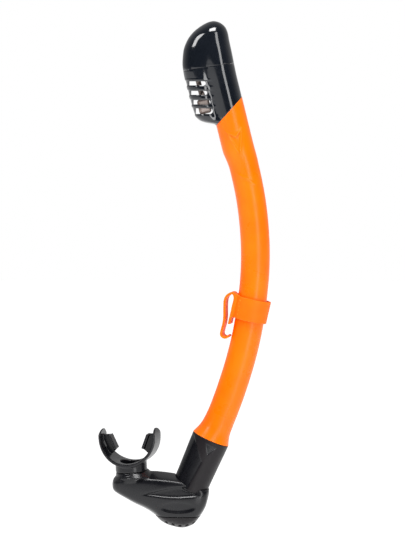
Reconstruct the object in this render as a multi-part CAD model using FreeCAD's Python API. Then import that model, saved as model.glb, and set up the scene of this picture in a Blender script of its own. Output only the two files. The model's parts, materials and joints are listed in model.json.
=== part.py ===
import FreeCAD, Part
import math
import os

# Dry-top snorkel, modelled upright as it is worn, in millimetres.
# Origin: centre of the breathing port, in the mouthpiece's mouth.
# +Z runs up, +X from the mouthpiece towards the barrel, and Y is the depth.
# Everything is symmetric about the XZ plane, apart from two pieces that are turned on the barrel:
# the mouthpiece and the strap keeper.

V = FreeCAD.Vector
Y_AXIS = V(0, 1, 0)
PARTS = "parts"

# Barrel: one bent tube, an arc between two straight ends
ARC_CENTRE = V(-223.4, 0, 178.3)
ARC_RADIUS = 332.0
TOP_ANGLE = 13.8            # degrees above the horizontal, where the arc ends and the top begins
FOOT_ANGLE = 23.4           # degrees below the horizontal, where the foot begins
TUBE_R = 12.6
BORE_R = 10.8
FIT = 0.1                   # radial gap of every push fit

# Top socket of the barrel and the dry top's column, both a little forward of the barrel's axis
COLUMN_OFFSET = 1.2
COLUMN_R = 13.6
SOCKET_START = 5.0
SOCKET_FULL = 19.0
SOCKET_BORE_START = 24.0
CUT_POINT = V(86.2, 0, 306.9)   # the slanted joint between barrel and dry top runs through here
CUT_SLOPE = 48.0            # degrees, rising towards the rear
CUT_GAP = 0.1

# Duct: the inner tube that joins barrel and dry top, and the valve seat on it, measured up the column
DUCT_R = 11.4
DUCT_BORE_R = 9.4
DUCT_START = 26.0
DUCT_END = 84.0
SEAT_R = 10.4
SEAT_BORE_R = 8.8
SEAT_START = 80.0
SEAT_HEIGHT = 90.0
SEAT_LIP = (0.8, 0.8)       # the raised lip's width and height
RING_SECTION_R = 0.54       # both O-rings
RING_GAP = 0.01
RING_GROOVE_WIDTH = 1.8
DUCT_RING_AT = 34.0

# Dry top shell: front x, rear x, front half depth and rear half depth at each height
HEAD_SECTIONS = (
    (296.2, 67.0, 75.0, 2.5, 2.5),
    (297.6, 61.5, 77.5, 7.5, 6.0),
    (301.5, 57.2, 79.0, 10.0, 8.5),
    (308.0, 54.5, 79.5, 11.2, 10.0),
    (317.0, 52.1, 79.8, 11.5, 10.5),
    (329.0, 49.1, 80.5, 11.6, 11.0),
    (338.0, 46.8, 84.0, 11.7, 11.8),
    (347.5, 45.6, 90.3, 11.9, 13.3),
    (357.9, 46.5, 88.0, 11.9, 13.5),
    (366.5, 49.5, 86.1, 11.4, 13.2),
    (373.2, 54.0, 84.8, 10.4, 12.0),
    (378.7, 60.3, 82.2, 8.4, 9.4),
    (382.2, 65.6, 78.4, 5.2, 5.6),
    (384.0, 70.0, 74.2, 1.9, 2.0),
)
SHELL = 1.9
SEAM_POINT = V(90.2, 0, 348.1)
SEAM_SLOPE = 8.8            # degrees, the dome's lower edge rises towards the rear
SEAM_GAP = 0.15
LIP_HEIGHT = 3.0
LIP_WALL = 1.2
LIP_REAR_X = 63.0           # the lip goes round the front of the seam, up to here

# Vents: height of the middle, front x, rear x and height of each slot
VENTS = (
    (330.4, 51.4, 65.4, 3.4),
    (322.2, 53.2, 66.6, 3.5),
    (314.1, 55.2, 69.4, 3.7),
    (306.0, 58.4, 71.6, 4.6),
)

# Float and flap, in the column's frame: u forward of the column's axis, w up along it
FLOAT_U = (14.6, 25.2)
FLOAT_W = (53.5, 66.4)
FLOAT_HALF_DEPTH = 7.2
CARRIER_FRONT_W = 68.4
CARRIER_REAR_W = 72.6
STEM_U = (20.0, 22.0)
STEM_HALF_DEPTH = 4.0
STEM_TOP = 94.4
WINDOW_HALF_DEPTH = 2.7
WINDOW_HEIGHT = 2.9
PIN_U = 13.0
PIN_W = 93.0
PIN_R = 1.0
PIN_LENGTH = 17.4
HUB_R = 2.3
HUB_HALF_DEPTH = 5.6
PIVOT_GAP = 0.05
EAR_DEPTH = (6.0, 8.6)
FLAP_OPEN = 28.65           # degrees that the flap stands open at rest
NOSE_RISE = 14.3            # degrees that the nose stands above the closed flap's plane
NOSE_REACH = 10.4
NOSE_THICK = 1.6
NOSE_HALF_DEPTH = 2.2
SEAL_R = 10.0
SEAL_THICK = 1.6
SEAL_GAP = 0.1
FLAP_PLATE_THICK = 1.3

# Foot of the barrel: distances down the foot's axis from the arc's end
FLARE = ((12.6, 0.0), (12.9, 12.0), (13.5, 18.6), (14.8, 23.2), (16.8, 28.3))
SPIGOT_R = 13.4
SPIGOT_LENGTH = 22.0
SPIGOT_RING_AT = 37.6
COUPLING_GAP = 0.3
COUPLING_R = (16.6, 15.6)
COUPLING_TAPER_END = 68.6
COUPLING_END = 76.6
COUPLING_BORE_R = 12.2

# Purge chamber: top, bottom and half depth at each x
CHAMBER_SECTIONS = (
    (-16.4, -18.4, -21.6, 2.0),
    (-15.4, -14.8, -24.6, 6.5),
    (-12.5, -12.0, -27.6, 10.5),
    (-7.0, -10.4, -31.0, 12.8),
    (3.0, -9.2, -36.0, 14.0),
    (13.0, -8.6, -40.6, 14.6),
    (20.0, -8.5, -45.2, 15.4),
    (26.5, -9.0, -51.9, 16.0),
    (34.0, -9.6, -55.2, 16.6),
    (45.0, -11.5, -57.4, 17.0),
    (53.6, -15.5, -55.0, 16.8),
    (60.5, -18.6, -48.2, 15.6),
    (65.4, -20.2, -40.0, 12.8),
    (67.8, -21.2, -30.5, 8.5),
    (68.6, -23.0, -26.4, 3.0),
)
CHAMBER_WALL = 2.4
CHAMBER_SQUARENESS = 2.9

# Mouthpiece, and the stiff connector that it turns on
MOUTH_TILT = 3.0            # degrees that the port's axis leans away from the barrel
MOUTH_TURN = 15.0           # degrees that the mouthpiece is turned on its stub
PORT_R = 9.5
STUB_R = 11.7
STUB_TOP = -3.4
STUB_FOOT = -17.0
STUB_FLANGE = (0.9, 1.6)    # how far each end's flange stands out, and its height
STUB_BEAD = (0.5, 1.6)
SLEEVE_R = 13.8
SLEEVE_FOOT = -8.2
SLEEVE_GAP = 0.2
FLANGE_R = 25.8
FLANGE_CENTRE_Z = 22.4
FLANGE_INNER_R = 24.0
FLANGE_INNER_Z = 23.6
FLANGE_TIP = (14.0, 29.6)   # heights between which the flange's ends are rounded off
FLANGE_HALF_DEPTH = 14.2
FLANGE_OVAL_X = 35.0
TAB = ((24.7, 24.6), (16.6, 24.7), (11.3, 12.2), (18.2, 5.8))
TAB_HALF_DEPTH = 1.7
TAB_LIP_HALF_DEPTH = 4.8
TAB_LIP_THICK = 2.4

# Strap keeper, in its own frame: n outwards from the barrel, a up along the ring
KEEPER_ANGLE = 7.66         # degrees below the horizontal, where the ring sits on the arc
KEEPER_LEAN = 5.0           # degrees that the loose ring hangs askew on the barrel
KEEPER_TURN = 9.0           # degrees that the hook is turned round the barrel
KEEPER_OFFSET = 0.6         # the loose ring hangs this far towards the arc's centre
KEEPER_RING_R = 15.7
KEEPER_BORE_R = 14.3
KEEPER_HEIGHT = 19.5
HOOK_LINE = (
    (15.05, -16.5),
    (15.05, -8.0),
    (15.05, 3.0),
    (15.5, 8.0),
    (17.6, 10.5),
    (20.6, 9.2),
    (23.0, 5.2),
    (22.9, 0.5),
    (21.1, -8.0),
    (19.9, -15.5),
    (20.1, -24.0),
    (19.4, -27.6),
    (17.2, -28.8),
    (13.4, -26.4),
)
HOOK_THICK = 2.0
HOOK_HALF_DEPTH = 9.0

# Purge valve, about an upright axis
PURGE_X = 43.0
PURGE_PLANE = -47.2
PURGE_SEAT_THICK = 3.0
PURGE_DISC_R = 10.6
PURGE_DISC_THICK = 1.0
PURGE_GAP = 0.1
PURGE_TRAVEL = 1.2
PURGE_STEM_R = 1.5
PURGE_BEAD_R = 2.3
PURGE_PORTS = 6
PURGE_PORT_R = 2.4
PURGE_PORT_RING_R = 6.2
COVER_WALL = 1.8
COVER_SLOTS = (31.0, 37.0, 43.0, 49.0, 55.0)
COVER_SLOT_WIDTH = 2.4
COVER_SLOT_HALF_DEPTH = 7.5

BIG = 400.0                 # the side of a block that stands for a half space


def radial(angle):
    """The direction from the arc's centre at an angle above the horizontal."""
    return V(math.cos(math.radians(angle)), 0, math.sin(math.radians(angle)))


def along(angle):
    """The barrel's direction, upwards, at an angle above the horizontal."""
    return V(-math.sin(math.radians(angle)), 0, math.cos(math.radians(angle)))


def on_arc(angle):
    """The point of the barrel's axis at an angle above the horizontal."""
    return ARC_CENTRE + radial(angle) * ARC_RADIUS


TOP_UP = along(TOP_ANGLE)
TOP_FRONT = radial(TOP_ANGLE) * -1
COLUMN_BASE = on_arc(TOP_ANGLE) + TOP_FRONT * COLUMN_OFFSET
FOOT_DOWN = along(-FOOT_ANGLE) * -1
FOOT_BASE = on_arc(-FOOT_ANGLE)
HEAD_FRAME = FreeCAD.Placement(COLUMN_BASE, FreeCAD.Rotation(TOP_FRONT, Y_AXIS * -1, TOP_UP, "XZY"))
MOUTH_LEAN = FreeCAD.Rotation(Y_AXIS, -MOUTH_TILT)
MOUTH_AXIS = MOUTH_LEAN.multVec(V(0, 0, 1))


def save(name, shape):
    """Writes one node, and stops if it isn't made of sound closed solids."""
    shape = shape.removeSplitter()
    if not shape.isValid() or not shape.Solids:
        raise RuntimeError(f"{name} is not a sound solid")
    solids = shape.Solids
    shape = solids[0] if len(solids) == 1 else Part.makeCompound(solids)
    shape.exportStep(f"{PARTS}/{name}.step")
    print(f"{name}: {len(solids)} solid, {shape.Volume / 1000:.2f} cm3")


def rod(radius, start, direction, length):
    return Part.makeCylinder(radius, length, start, direction)


def pipe(outer, inner, start, direction, length):
    return rod(outer, start, direction, length).cut(rod(inner, start, direction, length))


def block(x, y, z):
    """A box from pairs of limits."""
    return Part.makeBox(x[1] - x[0], y[1] - y[0], z[1] - z[0], V(x[0], y[0], z[0]))


def placed(shape, placement):
    """A copy of a shape, built in a local frame, in the part's own frame."""
    copy = shape.copy()
    copy.Placement = placement.multiply(copy.Placement)
    return copy


def half_space(point, normal):
    """A large block that fills the side of a plane that its normal points to."""
    slab = Part.makeBox(BIG, BIG, BIG, V(-BIG / 2, -BIG / 2, 0))
    turn = FreeCAD.Rotation(V(0, 0, 1), normal)
    return placed(slab, FreeCAD.Placement(point, turn))


def bent_rod(radius):
    """The arc of the barrel as a solid rod."""
    start = on_arc(TOP_ANGLE)
    disc = Part.Face(Part.Wire(Part.makeCircle(radius, start, TOP_UP)))
    return disc.revolve(ARC_CENTRE, Y_AXIS, TOP_ANGLE + FOOT_ANGLE)


def smooth_ring(points):
    """A closed smooth wire through points."""
    curve = Part.BSplineCurve()
    curve.interpolate(points, PeriodicFlag=True)
    return Part.Wire(curve.toShape())


def rounded_outline(centre, dir_a, dir_b, half_a, half_b, flare=0.0, squareness=2.4, count=24):
    """A squared-off ellipse. Its half width across grows by flare towards the end that dir_a points to."""
    points = []
    for k in range(count):
        turn = 2 * math.pi * k / count
        c = math.copysign(abs(math.cos(turn)) ** (2 / squareness), math.cos(turn))
        s = math.copysign(abs(math.sin(turn)) ** (2 / squareness), math.sin(turn))
        points.append(centre + dir_a * (half_a * c) + dir_b * ((half_b + flare * c) * s))
    return smooth_ring(points)


def shrunk(half, inset):
    """A half width less an inset, but never gone."""
    return max(half - inset, 0.3 * half)


def head_envelope(inset):
    """The dry top's outer form, or with an inset the hollow inside it."""
    lowest, highest = HEAD_SECTIONS[0][0], HEAD_SECTIONS[-1][0]
    middle = (lowest + highest) / 2
    squeeze = 1 - 2 * inset / (highest - lowest)
    wires = []
    for z, front, rear, depth_front, depth_rear in HEAD_SECTIONS:
        level = middle + (z - middle) * squeeze
        wires.append(rounded_outline(
            V((front + rear) / 2, 0, level), V(1, 0, 0), Y_AXIS,
            shrunk((rear - front) / 2, inset), shrunk((depth_front + depth_rear) / 2, inset),
            flare=(depth_rear - depth_front) / 2))
    return Part.makeLoft(wires, True, False)


def chamber_envelope(inset):
    """The purge chamber's outer form, or with an inset the hollow inside it."""
    first, last = CHAMBER_SECTIONS[0][0], CHAMBER_SECTIONS[-1][0]
    middle = (first + last) / 2
    squeeze = 1 - 2 * inset / (last - first)
    wires = []
    for x, top, bottom, depth in CHAMBER_SECTIONS:
        wires.append(rounded_outline(
            V(middle + (x - middle) * squeeze, 0, (top + bottom) / 2), V(0, 0, 1), Y_AXIS,
            shrunk((top - bottom) / 2, inset), shrunk(depth, inset), squareness=CHAMBER_SQUARENESS))
    return Part.makeLoft(wires, True, False)


def seam_side(shift, upper):
    """The space above or below the dome's seam, with the seam moved up by a shift."""
    slope = math.radians(SEAM_SLOPE)
    normal = V(-math.sin(slope), 0, math.cos(slope))
    return half_space(SEAM_POINT + normal * shift, normal if upper else normal * -1)


def joint_side(shift, upper):
    """The space on the dry top's or the barrel's side of their slanted joint."""
    slope = math.radians(CUT_SLOPE)
    normal = V(-math.sin(slope), 0, math.cos(slope))
    return half_space(CUT_POINT + normal * shift, normal if upper else normal * -1)


def o_ring(centre, axis, shaft_r):
    """An O-ring on a shaft, which just reaches the bore round it."""
    return Part.makeTorus(shaft_r + FIT - RING_GAP - RING_SECTION_R, RING_SECTION_R, centre, axis)


def groove(centre, axis, shaft_r):
    """The ring of material to cut from a shaft for its O-ring."""
    floor_r = shaft_r + FIT - 2 * RING_GAP - 2 * RING_SECTION_R
    start = centre - axis * (RING_GROOVE_WIDTH / 2)
    return pipe(shaft_r + 1, floor_r, start, axis, RING_GROOVE_WIDTH)


def main_tube():
    """The barrel: bent tube, wider top socket, flared foot and the spigot under it."""
    column_top = 80.0
    top_overlap = 1.0
    socket_axis = COLUMN_BASE
    body = bent_rod(TUBE_R)
    body = body.fuse(rod(TUBE_R, on_arc(TOP_ANGLE), TOP_UP, SOCKET_FULL))
    low = Part.Wire(Part.makeCircle(TUBE_R, on_arc(TOP_ANGLE) + TOP_UP * SOCKET_START, TOP_UP))
    high = Part.Wire(Part.makeCircle(COLUMN_R, socket_axis + TOP_UP * SOCKET_FULL, TOP_UP))
    body = body.fuse(Part.makeLoft([low, high], True, True))
    socket = rod(COLUMN_R, socket_axis + TOP_UP * SOCKET_FULL, TOP_UP, column_top)
    body = body.fuse(socket.common(joint_side(0, False)))
    body = body.fuse(foot_flare())
    end = FOOT_BASE + FOOT_DOWN * FLARE[-1][1]
    body = body.fuse(rod(SPIGOT_R, end - FOOT_DOWN * top_overlap, FOOT_DOWN, SPIGOT_LENGTH + top_overlap))
    ring_at = FOOT_BASE + FOOT_DOWN * SPIGOT_RING_AT
    body = body.cut(groove(ring_at, FOOT_DOWN, SPIGOT_R))
    bore = bent_rod(BORE_R)
    bore = bore.fuse(rod(BORE_R, on_arc(TOP_ANGLE), TOP_UP, SOCKET_BORE_START + top_overlap))
    bore = bore.fuse(rod(BORE_R, FOOT_BASE, FOOT_DOWN, FLARE[-1][1] + SPIGOT_LENGTH + top_overlap))
    bore = bore.fuse(rod(DUCT_R + FIT, socket_axis + TOP_UP * SOCKET_BORE_START, TOP_UP, column_top))
    return body.cut(bore)


def foot_flare():
    """The barrel's trumpet foot, turned about the foot's axis."""
    profile = Part.BSplineCurve()
    profile.interpolate([V(r, 0, -s) for r, s in FLARE])
    top, bottom = V(FLARE[0][0], 0, 0), V(FLARE[-1][0], 0, -FLARE[-1][1])
    centre_top, centre_bottom = V(0, 0, 0), V(0, 0, -FLARE[-1][1])
    wire = Part.Wire([
        profile.toShape(),
        Part.makeLine(bottom, centre_bottom),
        Part.makeLine(centre_bottom, centre_top),
        Part.makeLine(centre_top, top),
    ])
    turned = Part.Face(wire).revolve(V(0, 0, 0), V(0, 0, 1), 360)
    return placed(turned, FreeCAD.Placement(FOOT_BASE, FreeCAD.Rotation(V(0, 0, -1), FOOT_DOWN)))


def spigot_o_ring():
    return o_ring(FOOT_BASE + FOOT_DOWN * SPIGOT_RING_AT, FOOT_DOWN, SPIGOT_R)


def duct_o_ring():
    return o_ring(COLUMN_BASE + TOP_UP * DUCT_RING_AT, TOP_UP, DUCT_R)


def dry_top_dome():
    """The upper cover of the dry top."""
    shell = head_envelope(0).cut(head_envelope(SHELL))
    return shell.common(seam_side(SEAM_GAP, True))


def vented_housing():
    """The lower half of the dry top: float cage with its vents, and the column that sleeves the duct."""
    column = rod(COLUMN_R, COLUMN_BASE, TOP_UP, DUCT_END)
    hollow = head_envelope(SHELL).cut(column)
    body = head_envelope(0).fuse(column).cut(hollow).common(seam_side(0, False))
    lip = head_envelope(SHELL + FIT).cut(head_envelope(SHELL + FIT + LIP_WALL))
    lip = lip.common(seam_side(-LIP_HEIGHT, True)).common(seam_side(LIP_HEIGHT, False))
    lip = lip.cut(half_space(V(LIP_REAR_X, 0, 0), V(1, 0, 0)))
    foot = head_envelope(SHELL - FIT).cut(head_envelope(SHELL + FIT + LIP_WALL))
    foot = foot.common(seam_side(-LIP_HEIGHT, True)).common(seam_side(-FIT, False))
    foot = foot.cut(half_space(V(LIP_REAR_X, 0, 0), V(1, 0, 0)))
    body = body.fuse(lip).fuse(foot)
    body = body.common(joint_side(CUT_GAP, True))
    body = body.cut(rod(DUCT_R + FIT, COLUMN_BASE, TOP_UP, BIG))
    for z, front, rear, height in VENTS:
        body = body.cut(vent_slot(z, front, rear, height))
    return largest(body)


def vent_slot(z, front, rear, height):
    """One vent, right through both sides of the cage, with a round rear end."""
    radius = height / 2
    straight = block((front, rear - radius), (-30, 30), (z - radius, z + radius))
    end = rod(radius, V(rear - radius, -30, z), Y_AXIS, 60)
    return straight.fuse(end)


def largest(shape):
    """The one body of a cut, without loose crumbs."""
    return max(shape.Solids, key=lambda solid: solid.Volume)


def inner_duct():
    """The tube inside barrel socket and column, with a step at its top for the valve seat."""
    up = V(0, 0, 1)
    body = pipe(DUCT_R, DUCT_BORE_R, V(0, 0, DUCT_START), up, DUCT_END - DUCT_START)
    body = body.cut(rod(SEAT_R + FIT, V(0, 0, SEAT_START), up, DUCT_END))
    body = body.cut(groove(V(0, 0, DUCT_RING_AT), up, DUCT_R))
    return placed(body, HEAD_FRAME)


def valve_seat():
    """The ring on the duct that the flap closes on, with a raised lip and the flap's two ears."""
    up = V(0, 0, 1)
    lip_width, lip_height = SEAT_LIP
    shoulder = SEAT_HEIGHT - lip_height
    body = rod(SEAT_R, V(0, 0, SEAT_START + RING_GAP), up, shoulder - SEAT_START - RING_GAP)
    body = body.fuse(rod(SEAT_BORE_R + lip_width, V(0, 0, SEAT_START + 1), up, SEAT_HEIGHT - SEAT_START - 1))
    ear_foot = shoulder - 3.0
    for side in (-1, 1):
        depth = sorted((side * EAR_DEPTH[0], side * EAR_DEPTH[1]))
        foot = block((4.0, PIN_U + HUB_R), depth, (ear_foot, shoulder))
        post = block((PIN_U - HUB_R, PIN_U + HUB_R), depth, (ear_foot, PIN_W))
        tip = rod(HUB_R, V(PIN_U, depth[0], PIN_W), Y_AXIS, depth[1] - depth[0])
        body = body.fuse(foot).fuse(post).fuse(tip)
    body = body.cut(rod(SEAT_BORE_R, V(0, 0, DUCT_START), up, BIG))
    body = body.cut(rod(PIN_R, V(PIN_U, -20, PIN_W), Y_AXIS, 40))
    return placed(body, HEAD_FRAME)


def lever_pin():
    pin = rod(PIN_R - 0.005, V(PIN_U, -PIN_LENGTH / 2, PIN_W), Y_AXIS, PIN_LENGTH)
    return placed(pin, HEAD_FRAME)


def float_body():
    """The hollow float, a rounded block that rides up in the cage."""
    body = block(FLOAT_U, (-FLOAT_HALF_DEPTH, FLOAT_HALF_DEPTH), FLOAT_W)
    body = body.makeFillet(2.4, body.Edges)
    return placed(body, HEAD_FRAME)


def float_carrier():
    """The cap on the float, and its stem with a window for the flap's nose."""
    depth = FLOAT_HALF_DEPTH
    side = Part.makePolygon([
        V(FLOAT_U[0] + 2.4, -depth + 2.4, FLOAT_W[1] + 0.02),
        V(FLOAT_U[1] - 2.4, -depth + 2.4, FLOAT_W[1] + 0.02),
        V(FLOAT_U[1] - 2.4, -depth + 2.4, CARRIER_FRONT_W),
        V(FLOAT_U[0] + 2.4, -depth + 2.4, CARRIER_REAR_W),
        V(FLOAT_U[0] + 2.4, -depth + 2.4, FLOAT_W[1] + 0.02),
    ])
    cap = Part.Face(side).extrude(V(0, 2 * (depth - 2.4), 0))
    stem = block(STEM_U, (-STEM_HALF_DEPTH, STEM_HALF_DEPTH), (FLOAT_W[1] + 0.02, STEM_TOP))
    rib = block((STEM_U[0] - 2.4, STEM_U[0]), (-0.8, 0.8), (FLOAT_W[1] + 0.02, STEM_TOP - 8.5))
    nose_at = PIN_W - (STEM_U[0] + 1 - PIN_U) * math.tan(math.radians(FLAP_OPEN - NOSE_RISE))
    window = block(
        (STEM_U[0] - 5, STEM_U[1] + 5), (-WINDOW_HALF_DEPTH, WINDOW_HALF_DEPTH),
        (nose_at - WINDOW_HEIGHT / 2, nose_at + WINDOW_HEIGHT / 2))
    return placed(cap.fuse(stem).fuse(rib).cut(window), HEAD_FRAME)


def opened(shape):
    """A piece of the flap, built closed, swung to where it rests open."""
    swung = shape.copy()
    swung.rotate(V(PIN_U, 0, PIN_W), Y_AXIS, FLAP_OPEN)
    return placed(swung, HEAD_FRAME)


def flap_lever():
    """The rocker: hub on the pin, plate over the seat, and the nose in the float's window."""
    low = SEAT_HEIGHT + SEAL_GAP + SEAL_THICK
    plate = rod(SEAL_R - 0.6, V(0, 0, low + 0.02), V(0, 0, 1), FLAP_PLATE_THICK)
    neck = block((4.0, PIN_U), (-HUB_HALF_DEPTH + 0.6, HUB_HALF_DEPTH - 0.6), (low + 0.02, low + 0.02 + FLAP_PLATE_THICK))
    rib = block((-7.0, PIN_U), (-0.9, 0.9), (low + 0.5, low + 2.8))
    hub = rod(HUB_R, V(PIN_U, -HUB_HALF_DEPTH, PIN_W), Y_AXIS, 2 * HUB_HALF_DEPTH)
    nose = block(
        (PIN_U, PIN_U + NOSE_REACH), (-NOSE_HALF_DEPTH, NOSE_HALF_DEPTH),
        (PIN_W - NOSE_THICK / 2, PIN_W + NOSE_THICK / 2))
    nose.rotate(V(PIN_U, 0, PIN_W), Y_AXIS, -NOSE_RISE)
    body = plate.fuse(neck).fuse(rib).fuse(hub).fuse(nose)
    body = body.cut(rod(PIN_R + PIVOT_GAP, V(PIN_U, -20, PIN_W), Y_AXIS, 40))
    return opened(body.cut(rod(1.3, V(0, 0, low - 1), V(0, 0, 1), 6)))


def flap_seal():
    """The soft disc under the flap, held by its own button through the plate."""
    low = SEAT_HEIGHT + SEAL_GAP
    disc = rod(SEAL_R, V(0, 0, low), V(0, 0, 1), SEAL_THICK)
    disc = disc.makeFillet(0.5, disc.Edges)
    stalk = rod(1.25, V(0, 0, low + 0.5), V(0, 0, 1), 5.2)
    button = Part.makeSphere(1.9, V(0, 0, low + 6.6))
    return opened(disc.fuse(stalk).fuse(button))


def band_face(line, thick):
    """A strip of even thickness along a smooth line, in the XZ plane, with square ends."""
    middle = Part.BSplineCurve()
    middle.interpolate([V(n, 0, a) for n, a in line])
    count = 4 * len(line)
    first, last = middle.FirstParameter, middle.LastParameter
    left, right = [], []
    for k in range(count + 1):
        at = first + (last - first) * k / count
        across = middle.tangent(at)[0].cross(Y_AXIS).normalize() * (thick / 2)
        left.append(middle.value(at) + across)
        right.append(middle.value(at) - across)
    sides = []
    for points in (left, right):
        curve = Part.BSplineCurve()
        curve.interpolate(points)
        sides.append(curve.toShape())
    ends = [Part.makeLine(left[0], right[0]), Part.makeLine(left[-1], right[-1])]
    return Part.Face(Part.Wire([sides[0], ends[1], sides[1], ends[0]]))


def strap_keeper():
    """The loose ring on the barrel with its strap hook, one moulding."""
    low = V(0, 0, -KEEPER_HEIGHT / 2)
    ring = rod(KEEPER_RING_R, low, V(0, 0, 1), KEEPER_HEIGHT)
    hook = band_face(HOOK_LINE, HOOK_THICK).extrude(V(0, 2 * HOOK_HALF_DEPTH, 0))
    hook.translate(V(0, -HOOK_HALF_DEPTH, 0))
    web = block((10.0, 15.4), (-HOOK_HALF_DEPTH, HOOK_HALF_DEPTH), (-KEEPER_HEIGHT / 2, KEEPER_HEIGHT / 2 + 0.8))
    body = ring.fuse(web).cut(rod(KEEPER_BORE_R, low * 2, V(0, 0, 1), 2 * KEEPER_HEIGHT))
    body = body.fuse(hook)
    outwards = radial(-KEEPER_ANGLE) * -1
    up = along(-KEEPER_ANGLE)
    middle = on_arc(-KEEPER_ANGLE) + outwards * KEEPER_OFFSET
    seat = FreeCAD.Placement(middle, FreeCAD.Rotation(outwards, Y_AXIS * -1, up, "XZY"))
    lean = FreeCAD.Placement(V(0, 0, 0), FreeCAD.Rotation(Y_AXIS, -KEEPER_LEAN))
    turn = FreeCAD.Placement(V(0, 0, 0), FreeCAD.Rotation(V(0, 0, 1), -KEEPER_TURN))
    return placed(body, seat.multiply(lean).multiply(turn))


def lower_coupling():
    """The collar that sleeves the barrel's spigot and carries the chamber."""
    start = FLARE[-1][1] + COUPLING_GAP
    cone = Part.makeCone(
        COUPLING_R[0], COUPLING_R[1], COUPLING_TAPER_END - start, FOOT_BASE + FOOT_DOWN * start, FOOT_DOWN)
    tail = rod(COUPLING_R[1], FOOT_BASE + FOOT_DOWN * (COUPLING_TAPER_END - 1), FOOT_DOWN, COUPLING_END - COUPLING_TAPER_END + 1)
    socket_end = FLARE[-1][1] + SPIGOT_LENGTH + 1.0
    bore = rod(SPIGOT_R + FIT, FOOT_BASE, FOOT_DOWN, socket_end)
    waterway = rod(COUPLING_BORE_R, FOOT_BASE, FOOT_DOWN, COUPLING_END + 5)
    return cone.fuse(tail).cut(bore).cut(waterway)


def on_mouth_axis(radius, low, high):
    """A rod on the port's axis between two heights."""
    return rod(radius, MOUTH_AXIS * low, MOUTH_AXIS, high - low)


def mouthpiece_connector():
    """The stiff tube through the chamber's wall: a flange inside, and a bead that the mouthpiece snaps over."""
    proud, height = STUB_BEAD
    flange_proud, flange_height = STUB_FLANGE
    body = on_mouth_axis(STUB_R, STUB_FOOT, STUB_TOP)
    body = body.fuse(on_mouth_axis(STUB_R + proud, STUB_TOP - height, STUB_TOP))
    body = body.fuse(on_mouth_axis(STUB_R + flange_proud, STUB_FOOT, STUB_FOOT + flange_height))
    return body.cut(on_mouth_axis(PORT_R, STUB_FOOT - 1, STUB_TOP + 1))


def purge_chamber():
    """The soft hollow body that leads the air from the barrel to the mouthpiece."""
    outer = chamber_envelope(0).common(half_space(V(0, 0, PURGE_PLANE), V(0, 0, 1)))
    neck = on_mouth_axis(SLEEVE_R, STUB_FOOT + 2, SLEEVE_FOOT - SLEEVE_GAP)
    body = outer.fuse(neck).cut(chamber_envelope(CHAMBER_WALL))
    flange_proud, flange_height = STUB_FLANGE
    body = body.cut(on_mouth_axis(STUB_R + FIT, STUB_FOOT, 0))
    body = body.cut(on_mouth_axis(
        STUB_R + flange_proud + FIT, STUB_FOOT - 1.5, STUB_FOOT + flange_height + FIT))
    outside, inside = COUPLING_END - 42, COUPLING_END - 12
    body = body.cut(rod(
        COUPLING_R[1] + 0.05, FOOT_BASE + FOOT_DOWN * outside, FOOT_DOWN, COUPLING_END - outside + 0.2))
    body = body.cut(rod(COUPLING_BORE_R, FOOT_BASE + FOOT_DOWN * inside, FOOT_DOWN, 16))
    return largest(body)


def purge_seat():
    """The stiff oval plate in the chamber's floor, with the valve's ports."""
    slab = block((0, 90), (-30, 30), (PURGE_PLANE, PURGE_PLANE + PURGE_SEAT_THICK))
    plate = chamber_envelope(CHAMBER_WALL + 0.1).common(slab)
    for k in range(PURGE_PORTS):
        turn = 2 * math.pi * k / PURGE_PORTS
        centre = V(PURGE_X + PURGE_PORT_RING_R * math.cos(turn), PURGE_PORT_RING_R * math.sin(turn), PURGE_PLANE - 5)
        plate = plate.cut(rod(PURGE_PORT_R, centre, V(0, 0, 1), 20))
    return plate.cut(rod(PURGE_STEM_R + 0.1, V(PURGE_X, 0, PURGE_PLANE - 5), V(0, 0, 1), 20))


def purge_valve():
    """The mushroom valve: a disc under the seat, and a stem with a bead above it."""
    top = PURGE_PLANE - PURGE_GAP
    disc = rod(PURGE_DISC_R, V(PURGE_X, 0, top - PURGE_DISC_THICK), V(0, 0, 1), PURGE_DISC_THICK)
    seat_top = PURGE_PLANE + PURGE_SEAT_THICK
    stem = rod(PURGE_STEM_R, V(PURGE_X, 0, top - 0.5), V(0, 0, 1), seat_top - top + PURGE_TRAVEL + 1.5)
    bead_low = seat_top + PURGE_TRAVEL + 0.1
    bead = Part.makeCone(PURGE_BEAD_R, 0.9, 2.6, V(PURGE_X, 0, bead_low), V(0, 0, 1))
    return disc.fuse(stem).fuse(bead)


def purge_cover():
    """The slotted cap under the purge valve."""
    below = half_space(V(0, 0, PURGE_PLANE - PURGE_GAP), V(0, 0, -1))
    body = chamber_envelope(0).cut(chamber_envelope(COVER_WALL)).common(below)
    for x in COVER_SLOTS:
        half = COVER_SLOT_WIDTH / 2
        slot = block((x - half, x + half), (-COVER_SLOT_HALF_DEPTH, COVER_SLOT_HALF_DEPTH), (-70, PURGE_PLANE - 4.5))
        body = body.cut(slot)
    return largest(body)


def bite_tab():
    """One bite tab: a plate for the teeth with a taller lip at its inner edge."""
    corners = [V(x, 0, z) for x, z in TAB]
    plate = Part.Face(Part.makePolygon(corners + corners[:1])).extrude(V(0, 2 * TAB_HALF_DEPTH, 0))
    plate.translate(V(0, -TAB_HALF_DEPTH, 0))
    top, foot = corners[1], corners[2]
    outward = (foot - top).cross(Y_AXIS).normalize() * TAB_LIP_THICK
    edge = [top, foot, foot + outward, top + outward, top]
    lip = Part.Face(Part.makePolygon(edge)).extrude(V(0, 2 * TAB_LIP_HALF_DEPTH, 0))
    lip.translate(V(0, -TAB_LIP_HALF_DEPTH, 0))
    return plate.fuse(lip)


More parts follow.
